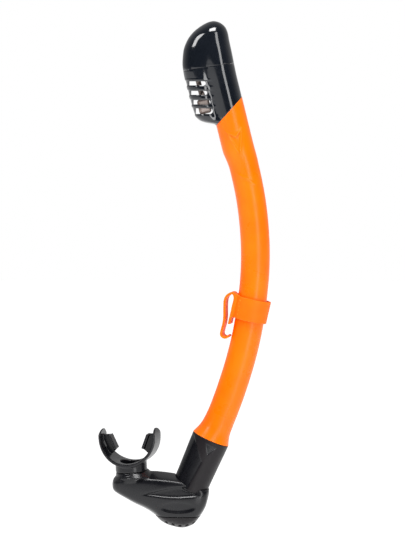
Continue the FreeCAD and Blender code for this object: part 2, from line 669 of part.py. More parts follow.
def mouthpiece():
    """The soft mouthpiece: a sleeve on the stub, the crescent flange and two bite tabs."""
    up = V(0, 0, 1)
    depth = 2 * FLANGE_HALF_DEPTH
    crescent = rod(FLANGE_R, V(0, -FLANGE_HALF_DEPTH, FLANGE_CENTRE_Z), Y_AXIS, depth)
    crescent = crescent.cut(rod(FLANGE_INNER_R, V(0, -20, FLANGE_INNER_Z), Y_AXIS, 40))
    start, end = FLANGE_TIP
    round_end = Part.Ellipse(V(-40, 0, end), V(-40, FLANGE_HALF_DEPTH, start), V(-40, 0, start))
    outline = Part.Face(Part.Wire(round_end.toShape())).extrude(V(80, 0, 0))
    crescent = crescent.common(outline.fuse(block((-40, 40), (-20, 20), (-20, start))))
    oval = Part.Ellipse(V(0, 0, -20), FLANGE_OVAL_X, FLANGE_HALF_DEPTH)
    crescent = crescent.common(Part.Face(Part.Wire(oval.toShape())).extrude(V(0, 0, 60)))
    sleeve = rod(SLEEVE_R, up * SLEEVE_FOOT, up, 10.0)
    sleeve = sleeve.cut(rod(FLANGE_INNER_R, V(0, -20, FLANGE_INNER_Z), Y_AXIS, 40))
    body = crescent.fuse(sleeve)
    tab = bite_tab()
    body = body.fuse(tab).fuse(tab.mirror(V(0, 0, 0), V(1, 0, 0)))
    proud, height = STUB_BEAD
    body = body.cut(rod(STUB_R + FIT, up * (SLEEVE_FOOT - 1), up, STUB_TOP + FIT - SLEEVE_FOOT + 1))
    body = body.cut(rod(STUB_R + proud + FIT, up * (STUB_TOP - height - FIT), up, height + 2 * FIT))
    body = body.cut(rod(PORT_R, up * -20, up, 40).common(block((-20, 20), (-20, 20), (-20, 8))))
    return placed(body, FreeCAD.Placement(V(0, 0, 0), MOUTH_LEAN.multiply(FreeCAD.Rotation(up, -MOUTH_TURN))))


os.makedirs(PARTS, exist_ok=True)
for build in (
    main_tube, spigot_o_ring, duct_o_ring, dry_top_dome, vented_housing, inner_duct, valve_seat,
    lever_pin, float_carrier, flap_lever, flap_seal, strap_keeper, lower_coupling, purge_chamber,
    mouthpiece_connector, purge_seat, purge_valve, purge_cover, mouthpiece,
):
    save(build.__name__, build())
save("float", float_body())
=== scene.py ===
"""Dry top snorkel: the visual model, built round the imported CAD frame. Lengths are in millimetres until
they reach Blender, which is in metres."""
import json
import math

import bmesh
import bpy
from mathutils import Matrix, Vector


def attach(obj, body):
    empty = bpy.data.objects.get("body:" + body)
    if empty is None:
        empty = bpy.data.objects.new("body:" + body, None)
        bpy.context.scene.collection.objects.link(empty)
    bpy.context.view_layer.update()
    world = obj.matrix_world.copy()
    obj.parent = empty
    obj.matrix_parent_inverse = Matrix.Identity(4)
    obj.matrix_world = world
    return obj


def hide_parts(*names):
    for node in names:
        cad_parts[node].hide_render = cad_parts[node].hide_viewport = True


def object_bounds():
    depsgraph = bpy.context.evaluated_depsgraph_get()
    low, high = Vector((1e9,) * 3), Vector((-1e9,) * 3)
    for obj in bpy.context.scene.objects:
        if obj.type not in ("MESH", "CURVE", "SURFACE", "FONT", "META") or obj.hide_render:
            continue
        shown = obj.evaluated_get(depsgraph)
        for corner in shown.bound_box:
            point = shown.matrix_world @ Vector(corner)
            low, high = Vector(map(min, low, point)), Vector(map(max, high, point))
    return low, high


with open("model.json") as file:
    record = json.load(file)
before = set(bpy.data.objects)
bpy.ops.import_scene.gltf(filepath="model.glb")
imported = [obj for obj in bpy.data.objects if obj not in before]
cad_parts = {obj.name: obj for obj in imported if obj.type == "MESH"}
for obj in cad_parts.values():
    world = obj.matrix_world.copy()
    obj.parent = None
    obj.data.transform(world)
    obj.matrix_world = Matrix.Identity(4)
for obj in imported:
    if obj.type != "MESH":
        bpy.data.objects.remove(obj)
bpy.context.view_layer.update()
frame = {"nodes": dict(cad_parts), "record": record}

MM = 0.001
Y_AXIS = Vector((0, 1, 0))
JOINTS = {joint["name"]: joint for joint in frame["record"]["behaviour"]["joints"]}


# ---------------------------------------------------------------- camera, light and floor

CAMERA_PLACE = (0.0627, -2.0, 0.330)
CAMERA_DIP = 4.62           # degrees below level
FLOOR_HALF = 6.0
FLOOR_DROP = 0.30


def new_object(name, data):
    """An object with its data, in the scene."""
    thing = bpy.data.objects.new(name, data)
    bpy.context.scene.collection.objects.link(thing)
    return thing


def make_camera():
    """Stands 2 m in front of the object at the height of its vents, and looks down at its middle."""
    data = bpy.data.cameras.new("camera")
    data.lens = 153.6
    data.sensor_width = 36
    camera = new_object("camera", data)
    camera.location = CAMERA_PLACE
    camera.rotation_euler = (math.radians(90 - CAMERA_DIP), 0, 0)
    bpy.context.scene.camera = camera


def make_softbox(name, place, target, size, power):
    """A rectangular area light at a place in metres that points at a target."""
    data = bpy.data.lights.new(name, "AREA")
    data.shape = "RECTANGLE"
    data.size, data.size_y = size
    data.energy = power
    lamp = new_object(name, data)
    lamp.location = place
    lamp.rotation_euler = (Vector(target) - Vector(place)).to_track_quat("-Z", "Y").to_euler()


def make_world():
    """White behind the object and dim in front of it. The camera itself sees plain white all round."""
    world = bpy.data.worlds.new("studio")
    bpy.context.scene.world = world
    world.use_nodes = True
    nodes, links = world.node_tree.nodes, world.node_tree.links
    nodes.clear()
    coord = nodes.new("ShaderNodeTexCoord")
    split = nodes.new("ShaderNodeSeparateXYZ")
    links.new(coord.outputs["Generated"], split.inputs[0])
    ramp = nodes.new("ShaderNodeMapRange")
    ramp.interpolation_type = "SMOOTHSTEP"
    for key, number in (("From Min", -0.55), ("From Max", 0.65), ("To Min", 0.015), ("To Max", 0.55)):
        ramp.inputs[key].default_value = number
    links.new(split.outputs["Y"], ramp.inputs["Value"])
    dim = nodes.new("ShaderNodeBackground")
    dim.inputs["Color"].default_value = (1, 1, 1, 1)
    links.new(ramp.outputs[0], dim.inputs["Strength"])
    plain = nodes.new("ShaderNodeBackground")
    plain.inputs["Color"].default_value = (1, 1, 1, 1)
    plain.inputs["Strength"].default_value = 1.0
    seen = nodes.new("ShaderNodeLightPath")
    mix = nodes.new("ShaderNodeMixShader")
    out = nodes.new("ShaderNodeOutputWorld")
    links.new(seen.outputs["Is Camera Ray"], mix.inputs[0])
    links.new(dim.outputs[0], mix.inputs[1])
    links.new(plain.outputs[0], mix.inputs[2])
    links.new(mix.outputs[0], out.inputs[0])


def make_floor():
    """A plain pale floor, well below the snorkel, which is held up in the air."""
    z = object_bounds()[0].z - FLOOR_DROP
    corners = [(x * FLOOR_HALF, y * FLOOR_HALF, z) for x, y in ((-1, -1), (1, -1), (1, 1), (-1, 1))]
    mesh = bpy.data.meshes.new("floor")
    mesh.from_pydata(corners, [], [(0, 1, 2, 3)])
    floor = new_object("floor", mesh)
    paint = bpy.data.materials.new("floor")
    paint.use_nodes = True
    shader = paint.node_tree.nodes["Principled BSDF"]
    shader.inputs["Base Color"].default_value = (0.80, 0.80, 0.80, 1)
    shader.inputs["Roughness"].default_value = 0.9
    shader.inputs["Emission Color"].default_value = (1, 1, 1, 1)
    shader.inputs["Emission Strength"].default_value = 0.85
    mesh.materials.append(paint)


make_camera()
make_world()
make_floor()
make_softbox("strip", (0.80, -1.45, 0.55), (0.07, 0, 0.25), (0.42, 1.9), 15)
make_softbox("overhead", (-0.95, -0.85, 1.10), (0.05, 0, 0.25), (0.5, 0.5), 9)
make_softbox("above", (0.09, -0.50, 1.20), (0.06, 0, 0.2), (0.50, 0.34), 10)
bpy.context.scene.view_settings.view_transform = "Standard"


# ---------------------------------------------------------------- materials

class Graph:
    """A new node material round one Principled shader, with short helpers."""

    def __init__(self, name):
        self.material = bpy.data.materials.new(name)
        self.material.use_nodes = True
        self.nodes, self.links = self.material.node_tree.nodes, self.material.node_tree.links
        self.shader = self.nodes["Principled BSDF"]
        self.coord = self.nodes.new("ShaderNodeTexCoord").outputs["Object"]

    def noise(self, scale, detail=2.0, rough=0.5):
        """Smooth noise in the object's own metres: scale is features per metre."""
        node = self.nodes.new("ShaderNodeTexNoise")
        node.inputs["Scale"].default_value = scale
        node.inputs["Detail"].default_value = detail
        node.inputs["Roughness"].default_value = rough
        self.links.new(self.coord, node.inputs["Vector"])
        return node.outputs["Fac"]

    def spread(self, value, low, high, start=0.3, end=0.7):
        """A value mapped to run from low to high."""
        node = self.nodes.new("ShaderNodeMapRange")
        self.links.new(value, node.inputs["Value"])
        for key, number in (("From Min", start), ("From Max", end), ("To Min", low), ("To Max", high)):
            node.inputs[key].default_value = number
        return node.outputs[0]

    def math(self, kind, a, b):
        """One sum or product of two values, each a number or a socket."""
        node = self.nodes.new("ShaderNodeMath")
        node.operation = kind
        for socket, value in zip(node.inputs, (a, b)):
            if isinstance(value, (int, float)):
                socket.default_value = value
            else:
                self.links.new(value, socket)
        return node.outputs[0]

    def blend(self, factor, a, b):
        """A mix of two colours, each a tuple or a socket."""
        node = self.nodes.new("ShaderNodeMix")
        node.data_type = "RGBA"
        self.links.new(factor, node.inputs["Factor"])
        for key, value in (("A", a), ("B", b)):
            socket = next(s for s in node.inputs if s.name == key and s.type == "RGBA")
            if isinstance(value, tuple):
                socket.default_value = (*value, 1)
            else:
                self.links.new(value, socket)
        return next(s for s in node.outputs if s.type == "RGBA")

    def edges(self, low, high):
        """1 on sharp outer edges and 0 elsewhere, from the mesh's own curvature."""
        point = self.nodes.new("ShaderNodeNewGeometry").outputs["Pointiness"]
        return self.spread(point, 0, 1, low, high)

    def bump(self, height, distance):
        """Bump from a height in 0 to 1, over a distance in millimetres."""
        node = self.nodes.new("ShaderNodeBump")
        node.inputs["Strength"].default_value = 1.0
        node.inputs["Distance"].default_value = distance * MM
        self.links.new(height, node.inputs["Height"])
        self.links.new(node.outputs[0], self.shader.inputs["Normal"])

    def drive(self, key, socket):
        """Lets a socket set one of the shader's values."""
        self.links.new(socket, self.shader.inputs[key])

    def fix(self, **values):
        """Sets plain values on the shader's own sockets, named with _ for a space."""
        for key, value in values.items():
            socket = self.shader.inputs[key.replace("_", " ")]
            socket.default_value = (*value, 1) if isinstance(value, tuple) and len(value) == 3 else value


DRIFT_SCALE = 38            # features per metre of the slow drift of colour
EDGE_RANGE = (0.52, 0.60)   # the pointiness over which the edge colour comes in
FINE_RATIO, FINE_SHARE = 4.3, 0.3


def moulded(name, dark, light, rough, speckle=(0.35, 2600), haze=60, edge=None, bump=(0.010, 900),
            **values):
    """A moulded plastic or rubber, with drifting colour, fine speckle, handling haze and orange-peel bump.
    speckle is a strength and a scale, haze a scale, and bump a depth in millimetres and a scale."""
    g = Graph(name)
    strength, fineness = speckle
    drift = g.spread(g.noise(DRIFT_SCALE), 0, 1)
    grain = g.spread(g.noise(fineness), -strength, strength)
    colour = g.blend(g.math("ADD", drift, grain), dark, light)
    if edge:
        colour = g.blend(g.edges(*EDGE_RANGE), colour, edge)
    g.drive("Base Color", colour)
    smear = g.math("MULTIPLY", g.spread(g.noise(haze, detail=4, rough=0.62), 0, 1), rough[1] - rough[0])
    g.drive("Roughness", g.math("ADD", smear, rough[0]))
    depth, scale = bump
    fine = g.math("MULTIPLY", g.noise(scale * FINE_RATIO), FINE_SHARE)
    g.bump(g.math("ADD", g.noise(scale), fine), depth)
    g.fix(**values)
    return g.material


ORANGE = moulded(
    "orange_barrel", (1.0, 0.150, 0.0), (1.0, 0.185, 0.0), (0.24, 0.36), speckle=(0.12, 1800),
    edge=(1.0, 0.25, 0.02), bump=(0.012, 520), Specular_IOR_Level=0.2)
ORANGE_CLIP = moulded(
    "orange_keeper", (0.95, 0.145, 0.0), (1.0, 0.18, 0.0), (0.42, 0.55), speckle=(0.14, 2200),
    edge=(1.0, 0.27, 0.02), bump=(0.014, 640), Specular_IOR_Level=0.16)
GLOSS_BLACK = moulded(
    "gloss_black_shell", (0.0045, 0.006, 0.009), (0.008, 0.010, 0.014), (0.055, 0.16), haze=95,
    edge=(0.03, 0.03, 0.033), bump=(0.004, 420), Specular_IOR_Level=0.55, Coat_Weight=0.2,
    Coat_Roughness=0.04)
COLLAR_BLACK = moulded(
    "satin_black_collar", (0.007, 0.006, 0.007), (0.011, 0.009, 0.011), (0.36, 0.46), haze=120,
    edge=(0.02, 0.02, 0.022), bump=(0.006, 2400), Specular_IOR_Level=0.22)
SILICONE = moulded(
    "black_silicone", (0.0035, 0.0038, 0.0055), (0.007, 0.007, 0.009), (0.21, 0.33), haze=75,
    edge=(0.014, 0.014, 0.016), bump=(0.004, 420), Specular_IOR_Level=0.36)
INNER_PLASTIC = moulded(
    "inner_plastic", (0.035, 0.035, 0.038), (0.06, 0.06, 0.064), (0.40, 0.55), bump=(0.02, 1500))
FLOAT_PLASTIC = moulded(
    "float_plastic", (0.20, 0.145, 0.125), (0.36, 0.285, 0.25), (0.26, 0.44), haze=150,
    speckle=(0.2, 1500), edge=(0.55, 0.46, 0.42), bump=(0.03, 800))
SEAL_RUBBER = moulded(
    "seal_rubber", (0.016, 0.016, 0.017), (0.03, 0.03, 0.032), (0.45, 0.62), bump=(0.02, 1300))
VALVE_SILICONE = moulded(
    "valve_silicone", (0.42, 0.42, 0.40), (0.55, 0.55, 0.53), (0.30, 0.45), bump=(0.012, 900),
    Transmission_Weight=0.25)
STEEL = moulded(
    "pin_steel", (0.50, 0.50, 0.51), (0.62, 0.62, 0.62), (0.20, 0.34), bump=(0.006, 3000), Metallic=1.0)

MATERIAL_NODES = (
    (ORANGE, "main_tube"),
    (ORANGE_CLIP, "strap_keeper"),
    (GLOSS_BLACK, "dry_top_dome", "vented_housing"),
    (COLLAR_BLACK, "lower_coupling", "purge_cover"),
    (SILICONE, "purge_chamber", "mouthpiece"),
    (INNER_PLASTIC, "inner_duct", "valve_seat", "flap_lever", "mouthpiece_connector", "purge_seat"),
    (FLOAT_PLASTIC, "float", "float_carrier"),
    (SEAL_RUBBER, "flap_seal", "duct_o_ring", "spigot_o_ring"),
    (VALVE_SILICONE, "purge_valve"),
    (STEEL, "lever_pin"),
)


def set_material(mesh, material):
    """Makes a material a mesh's only one."""
    mesh.materials.clear()
    mesh.materials.append(material)


def finish_nodes():
    """Gives every CAD node its material."""
    for finish, *names in MATERIAL_NODES:
        for name in names:
            set_material(frame["nodes"][name].data, finish)


finish_nodes()

# ---------------------------------------------------------------- mesh helpers

def make_piece(name, verts, faces, material):
    """A smooth-shaded mesh object from points in millimetres, with its faces turned outwards."""
    mesh = bpy.data.meshes.new(name)
    mesh.from_pydata([Vector(v) * MM for v in verts], [], faces)
    form = bmesh.new()
    form.from_mesh(mesh)
    bmesh.ops.recalc_face_normals(form, faces=form.faces)
    form.to_mesh(mesh)
    form.free()
    mesh.materials.append(material)
    mesh.update()
    piece = new_object(name, mesh)
    shade(piece)
    return piece


def shade(piece, angle=32):
    """Smooth shading that keeps edges sharper than an angle."""
    piece.data.polygons.foreach_set("use_smooth", [True] * len(piece.data.polygons))
    piece.data.set_sharp_from_angle(angle=math.radians(angle))


def loft(name, rings, material, ring_shut=True, caps=False):
    """A skin over rings of equal count. With ring_shut the last ring joins the first."""
    count = len(rings[0])
    verts = [p for ring in rings for p in ring]
    faces = []
    pairs = len(rings) if ring_shut else len(rings) - 1
    for i in range(pairs):
        a, b = i * count, (i + 1) % len(rings) * count
        for k in range(count):
            n = (k + 1) % count
            faces.append((a + k, a + n, b + n, b + k))
    if caps:
        faces.append(tuple(range(count - 1, -1, -1)))
        faces.append(tuple(range((len(rings) - 1) * count, len(rings) * count)))
    return make_piece(name, verts, faces, material)


def settle(piece):
    """Applies a piece's modifiers to its mesh."""
    graph = bpy.context.evaluated_depsgraph_get()
    mesh = bpy.data.meshes.new_from_object(piece.evaluated_get(graph))
    piece.modifiers.clear()
    piece.data = mesh
    shade(piece)
    return piece


def combine(piece, tool, how="DIFFERENCE"):
    """Cuts, joins or intersects a piece with a tool, which is used up."""
    step = piece.modifiers.new("combine", "BOOLEAN")
    step.operation = how
    step.solver = "MANIFOLD"
    step.object = tool
    settle(piece)
    bpy.data.objects.remove(tool)
    return piece


def circle(centre, side, across, radius, count):
    """Evenly spaced points round a circle in the plane of two directions."""
    turns = [2 * math.pi * k / count for k in range(count)]
    return [centre + (side * math.cos(t) + across * math.sin(t)) * radius for t in turns]


def rod(start, direction, radius, length, count=72, end_radius=None):
    """A round bar or cone from a start along a direction, as a tool."""
    direction = Vector(direction).normalized()
    side = direction.cross(Y_AXIS if abs(direction.y) < 0.9 else Vector((1, 0, 0))).normalized()
    across = direction.cross(side)
    ends = ((0, radius), (length, end_radius or radius))
    rings = [circle(Vector(start) + direction * place, side, across, r, count) for place, r in ends]
    return loft("tool", rings, ORANGE, False, True)


def slab(point, normal, size=160.0):
    """A big block whose face passes through a point, on the side its normal points to, as a tool."""
    normal = Vector(normal).normalized()
    side = normal.cross(Y_AXIS).normalized()
    corners = [side + Y_AXIS, side - Y_AXIS, -side - Y_AXIS, -side + Y_AXIS]
    rings = [[Vector(point) + c * size + normal * lift for c in corners] for lift in (0, size)]
    return loft("tool", rings, ORANGE, False, True)


def fused(piece, voxel, rounds):
    """Turns a piece into one even skin, with its edges and inner corners rounded as a moulding's are."""
    skin = piece.modifiers.new("skin", "REMESH")
    skin.mode = "VOXEL"
    skin.voxel_size = voxel * MM
    skin.adaptivity = 0
    soft = piece.modifiers.new("soft", "SMOOTH")
    soft.factor = 0.5
    soft.iterations = rounds
    return settle(piece)


def add_bevel(piece, width, angle):
    """Rounds a piece's edges that are sharper than an angle, by a modifier."""
    step = piece.modifiers.new("bevel", "BEVEL")
    step.width = width * MM
    step.segments = 2
    step.limit_method = "ANGLE"
    step.angle_limit = math.radians(angle)


def weld(piece, distance=0.02):
    """Merges points that fell on each other."""
    step = piece.modifiers.new("weld", "WELD")
    step.merge_threshold = distance * MM
    return settle(piece)


def copy_of(node, name, material):
    """A new piece with a CAD node's mesh."""
    mesh = frame["nodes"][node].data.copy()
    set_material(mesh, material)
    return new_object(name, mesh)


def stand_in(piece, node):
    """Lets a piece take a CAD node's place and body."""
    body = next(b for b, members in frame["record"]["behaviour"]["bodies"].items() if node in members)
    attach(piece, body)
    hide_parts(node)


def smoothstep(low, high, value):
    """0 at low and 1 at high, with a soft start and end."""
    t = min(max((value - low) / (high - low), 0.0), 1.0)
    return t * t * (3 - 2 * t)


def curve_through(points, value):
    """A smooth value from (key, value, ...) rows, by monotone cubic steps between them."""
    keys = [row[0] for row in points]
    i = max(1, min(len(keys) - 1, next((n for n, k in enumerate(keys) if k > value), len(keys) - 1)))
    out = []
    for c in range(1, len(points[0])):
        slopes = []
        for j in (i - 1, i):
            left = slope_of(points, j - 1, c) if j > 0 else None
            right = slope_of(points, j, c) if j < len(points) - 1 else None
            if left is None or right is None:
                slopes.append(left if right is None else right)
            else:
                slopes.append(0 if left * right <= 0 else 2 * left * right / (left + right))
        a, b = points[i - 1], points[i]
        h = b[0] - a[0]
        t = min(max((value - a[0]) / h, 0.0), 1.0)
        t2, t3 = t * t, t * t * t
        out.append(a[c] * (2 * t3 - 3 * t2 + 1) + slopes[0] * h * (t3 - 2 * t2 + t)
                   + b[c] * (3 * t2 - 2 * t3) + slopes[1] * h * (t3 - t2))
    return out


def slope_of(points, j, c):
    """The slope of a column between rows j and j + 1."""
    return (points[j + 1][c] - points[j][c]) / (points[j + 1][0] - points[j][0])


# ---------------------------------------------------------------- the frame's own lines

def joint_line(name, key="pos_m"):
    """A joint's place or axis."""
    return Vector(JOINTS[name][key])


ARC_CENTRE = joint_line("keeper_slide") / MM
FOOT_BASE = joint_line("boot_swivel") / MM
FOOT_DOWN = joint_line("boot_swivel", "axis").normalized()
TOP_UP = joint_line("float_rise", "axis").normalized()
ARC_RADIUS = (FOOT_BASE - ARC_CENTRE).length
TOP_ANGLE = math.atan2(-TOP_UP.x, TOP_UP.z)
FOOT_ANGLE = math.atan2(-FOOT_DOWN.x, -FOOT_DOWN.z)
ARC_LENGTH = ARC_RADIUS * (TOP_ANGLE + FOOT_ANGLE)
TOP_FRONT = Vector((-TOP_UP.z, 0, TOP_UP.x))
FOOT_REAR = Vector((-FOOT_DOWN.z, 0, FOOT_DOWN.x))
ARC_TOP = ARC_CENTRE - TOP_FRONT * ARC_RADIUS
COLUMN_OFFSET = 1.2
COLUMN_BASE = ARC_TOP + TOP_FRONT * COLUMN_OFFSET
COLUMN_R = 13.6
CUT_POINT = Vector((86.2, 0, 306.9))
CUT_SLOPE = math.radians(48)
CUT_NORMAL = Vector((-math.sin(CUT_SLOPE), 0, math.cos(CUT_SLOPE)))


# ---------------------------------------------------------------- barrel

def barrel_place(s):
    """Axis point and upward direction at a distance s up from the arc's foot."""
    if s < 0:
        return FOOT_BASE - FOOT_DOWN * s + FOOT_REAR * curve_through(WANDER, s)[0], -FOOT_DOWN
    if s > ARC_LENGTH:
        rise = s - ARC_LENGTH
        shift = COLUMN_OFFSET * smoothstep(3, 20, rise)
        return ARC_TOP + TOP_UP * rise + TOP_FRONT * shift, TOP_UP
    angle = s / ARC_RADIUS - FOOT_ANGLE
    radial = Vector((math.cos(angle), 0, math.sin(angle)))
    reach = ARC_RADIUS + curve_through(WANDER, s)[0]
    return ARC_CENTRE + radial * reach, Vector((-radial.z, 0, radial.x))


FLARE_END = 28.3
SPIGOT_LENGTH = 21.9
SPIGOT_R = 13.4
SPIGOT_CHAMFER = (0.3, 0.4)             # across and along
FOOT_FACE_R = 16.4
BORE_R = 10.8
SOCKET_R = 11.5
SOCKET_FLOOR = ARC_LENGTH + 24
MOUTH_LOW = ARC_LENGTH + 12             # below this no ring reaches the slanted joint
MOUTH_HIGH = ARC_LENGTH + 68            # from here on every ring lies wholly past it
MOUTH_R = 13.2
# how far the moulded barrel strays outwards from its true arc, at distances up from the arc's foot
WANDER = (
    (-60, 0), (-28, 0), (-20, 0.3), (-10, 0.55), (-3, 0.5), (5, 0.2), (14, -0.1), (26, -0.4), (50, -0.55),
    (100, -0.45), (125, 0.0), (150, 0.2), (185, 0.2), (205, 0.05), (ARC_LENGTH, 0),
)
# the barrel's outer radius at distances up from the foot
BARREL_OUTSIDE = (
    (-28.2, 16.75), (-26.0, 15.9), (-23.2, 14.85), (-18.6, 13.65), (-12.0, 13.05), (-4.0, 12.8),
    (30.0, 12.75), (80.0, 12.7), (120.0, 12.55), (ARC_LENGTH - 60, 12.6), (ARC_LENGTH, 12.75),
    (ARC_LENGTH + 6, 13.0), (ARC_LENGTH + 19, 13.75), (ARC_LENGTH + 80, 13.75),
)
ARROW_TOP = ARC_LENGTH + 33.0
ARROW_LENGTH = 21.0
ARROW_HALF = 6.2
ARROW_NOTCH = 5.0
ARROW_RIM, ARROW_DEPTH = 0.42, 1.05
RIDGE_AT = ARC_LENGTH - 10.0
RIDGE_SLANT = 0.9
RIDGE_HEIGHT, RIDGE_WIDTH = 0.38, 1.1


def arrow_depth(across, s):
    """The moulded arrowhead on each side of the socket: a shallow pocket with a rim round it."""
    down = ARROW_TOP - s
    side = ARROW_HALF * (1 - down / ARROW_LENGTH) - abs(across)
    notch = down - ARROW_NOTCH * (1 - abs(across) / ARROW_HALF)
    inside = min(side * 0.96, notch * 0.8)
    return ARROW_RIM * smoothstep(-1.6, -0.3, inside) - ARROW_DEPTH * smoothstep(-0.1, 1.3, inside)


def sweep_ridge(across, s):
    """The faint slanting ridge under the socket, which fades out round the barrel."""
    line = s - RIDGE_AT + RIDGE_SLANT * across
    fade = smoothstep(9.0, 4.0, abs(across))
    return RIDGE_HEIGHT * math.exp(-(line / RIDGE_WIDTH) ** 2) * fade


def barrel_ring(s, radius, count=144, relief=True, clip=False):
    """One ring round the barrel. With clip, points past the slanted joint are moved down onto it."""
    centre, up = barrel_place(s)
    front = Y_AXIS.cross(up) * -1
    ring = []
    for k in range(count):
        turn = 2 * math.pi * k / count
        out = front * math.cos(turn) + Y_AXIS * math.sin(turn)
        r = radius
        if relief:
            across = -radius * math.cos(turn)
            if abs(math.sin(turn)) > 0.5:
                r += arrow_depth(across, s) + sweep_ridge(across, s)
        point = centre + out * r
        if clip:
            beyond = (point - CUT_POINT).dot(CUT_NORMAL)
            if beyond > 0:
                point = point - up * (beyond / up.dot(CUT_NORMAL))
        ring.append(point)
    return ring


def make_barrel():
    """Barrel wall: the spigot, the outside with its relief, the slanted mouth, the socket and the bore."""
    foot = -FLARE_END - SPIGOT_LENGTH
    across, along = SPIGOT_CHAMFER
    spigot = ((foot, SPIGOT_R - across), (foot + along, SPIGOT_R), (-FLARE_END - 0.2, SPIGOT_R),
              (-FLARE_END, FOOT_FACE_R))
    rings = [barrel_ring(s, radius, relief=False) for s, radius in spigot]
    steps = [-28.2, -27.8, -27.0, -26.0, -24.5, -22.5, -20, -17, -13, -9, -4, 0]
    steps += [ARC_LENGTH * k / 70 for k in range(1, 66)]
    steps += [ARC_LENGTH - 20 + 0.45 * k for k in range(1, 120)]
    past_relief = [ARC_LENGTH + 34 + 0.8 * k for k in range(44)]
    for s in sorted(steps) + past_relief:
        rings.append(barrel_ring(s, curve_through(BARREL_OUTSIDE, s)[0], clip=s >= MOUTH_LOW))
    rings.append(barrel_ring(MOUTH_HIGH, MOUTH_R, relief=False, clip=True))
    rings.append(barrel_ring(MOUTH_HIGH, SOCKET_R, relief=False, clip=True))
    rings.append(barrel_ring(SOCKET_FLOOR, SOCKET_R, relief=False))
    bore = [SOCKET_FLOOR - 0.2] + [ARC_LENGTH * k / 20 for k in range(20, -1, -1)] + [foot]
    rings += [barrel_ring(s, BORE_R, relief=False) for s in bore]
    barrel = loft("barrel_tube", rings, ORANGE)
    weld(barrel)
    stand_in(barrel, "main_tube")


# ---------------------------------------------------------------- dry top

# height, front x, rear x, front lobe's half length and half depth, rear lobe's half length and half depth
HEAD_ROWS = (
    (288.0, 88.0, 104.2, 6.0, 4.0, 14.0, 13.6),
    (294.6, 76.0, 102.6, 6.0, 4.0, 14.0, 13.6),
    (295.6, 70.5, 102.4, 8.0, 6.0, 14.0, 13.6),
    (296.6, 65.0, 102.1, 9.5, 8.0, 14.0, 13.6),
    (298.4, 60.6, 101.7, 10.6, 9.6, 14.0, 13.6),
    (302.0, 56.8, 100.8, 10.8, 10.7, 14.0, 13.6),
    (308.0, 54.4, 99.3, 11.0, 11.3, 14.0, 13.6),
    (317.0, 52.0, 97.1, 11.6, 11.7, 14.0, 13.6),
    (329.0, 49.0, 94.2, 13.0, 12.0, 14.0, 13.6),
    (338.0, 46.8, 92.0, 14.2, 12.2, 14.0, 13.6),
    (347.5, 45.6, 90.0, 15.2, 12.3, 14.0, 13.6),
    (357.9, 46.4, 87.9, 15.6, 12.2, 13.8, 13.4),
    (366.5, 49.3, 86.0, 15.2, 11.6, 13.2, 12.8),
    (373.2, 53.8, 84.6, 13.6, 10.6, 12.2, 11.6),
    (378.7, 60.0, 82.3, 10.6, 8.4, 9.8, 9.2),
    (382.2, 65.6, 78.6, 6.4, 5.4, 6.1, 5.9),
    (383.6, 69.4, 75.2, 2.9, 2.5, 2.8, 2.8),
    (384.0, 71.6, 73.0, 0.7, 0.7, 0.7, 0.7),
)
LOBE_BLEND = 4.2                        # how softly the two lobes run together
HEAD_TOP = 384.0
HEAD_LOW = 289.0
HEAD_REACH = 40.0                       # farther out than any outline goes
INSIDE_LOW = 295.2                      # the inside's floor, less the inset
CAGE_LOW, CAGE_TOP = 300, 336           # the vents lie between these heights
TOP_BAND = 334.2                        # the highest rib ends here
SEAM_POINT = Vector((90.2, 0, 348.1))
SEAM_SLOPE = math.radians(8.8)
SEAM_NORMAL = Vector((-math.sin(SEAM_SLOPE), 0, math.cos(SEAM_SLOPE)))
# each vent's height, front x, rear x and opening
VENTS = (
    (330.4, 51.4, 65.6, 3.5),
    (322.2, 53.0, 66.8, 3.5),
    (314.1, 55.0, 69.6, 3.9),
    (306.4, 57.0, 71.6, 5.0),
)
HEAD_SHELL = 1.9                        # wall thickness
COLUMN_LENGTH = 84                      # how far the column stands up inside the dome
SEAM_GAP, MOUTH_GAP = 0.14, 0.12


def louvre(z):
    """How far the ribs between the vents stand proud of the vents' own level."""
    if z > TOP_BAND or z < CAGE_LOW:
        return 0.35
    nearest = min(abs(z - vent[0]) - vent[3] / 2 for vent in VENTS)
    return -0.25 + 0.75 * smoothstep(0.0, 1.2, nearest)


def head_ring(height, inset, top, count=168):
    """The two-lobed outline of the dry top at a height. With an inset, the dome's rings are those of the
    outside, lowered to end at a top."""
    z = height
    if inset and height > CAGE_TOP:
        z = CAGE_TOP + (height - CAGE_TOP) * (HEAD_TOP - CAGE_TOP) / (top - CAGE_TOP)
    front, rear, af, bf, ar, br = curve_through(HEAD_ROWS, z)
    if inset == 0:
        proud = louvre(z) * smoothstep(HEAD_TOP - 1, HEAD_TOP - 8, z)
        front, af, bf = front - proud * 0.8, af + proud * 0.4, bf + proud * 0.8
    xf, xr = front + af, rear - ar
    small = max(0.25, 1 - inset / 10)
    af, bf, ar, br = (max(v - inset, v * 0.3) for v in (af, bf, ar, br))
    middle = (xf + xr) / 2
    blend = LOBE_BLEND * small * smoothstep(HEAD_TOP, HEAD_TOP - 12, z) + 0.3

    def gap(x, y):
        """Below zero inside the outline, and above it outside."""
        lobes = []
        for centre, a, b in ((xf, af, bf), (xr, ar, br)):
            reach = math.hypot((x - centre) / a, y / b)
            lobes.append((reach - 1) * min(a, b))
        near = max(blend - abs(lobes[0] - lobes[1]), 0) / blend
        return min(lobes) - near * near * blend / 4

    ring = []
    for k in range(count):
        turn = 2 * math.pi * k / count
        dx, dy = math.cos(turn), math.sin(turn)
        low, high = 0.0, HEAD_REACH
        for _ in range(22):
            reach = (low + high) / 2
            if gap(middle + dx * reach, dy * reach) < 0:
                low = reach
            else:
                high = reach
        ring.append(Vector((middle + dx * low, dy * low, height)))
    return ring


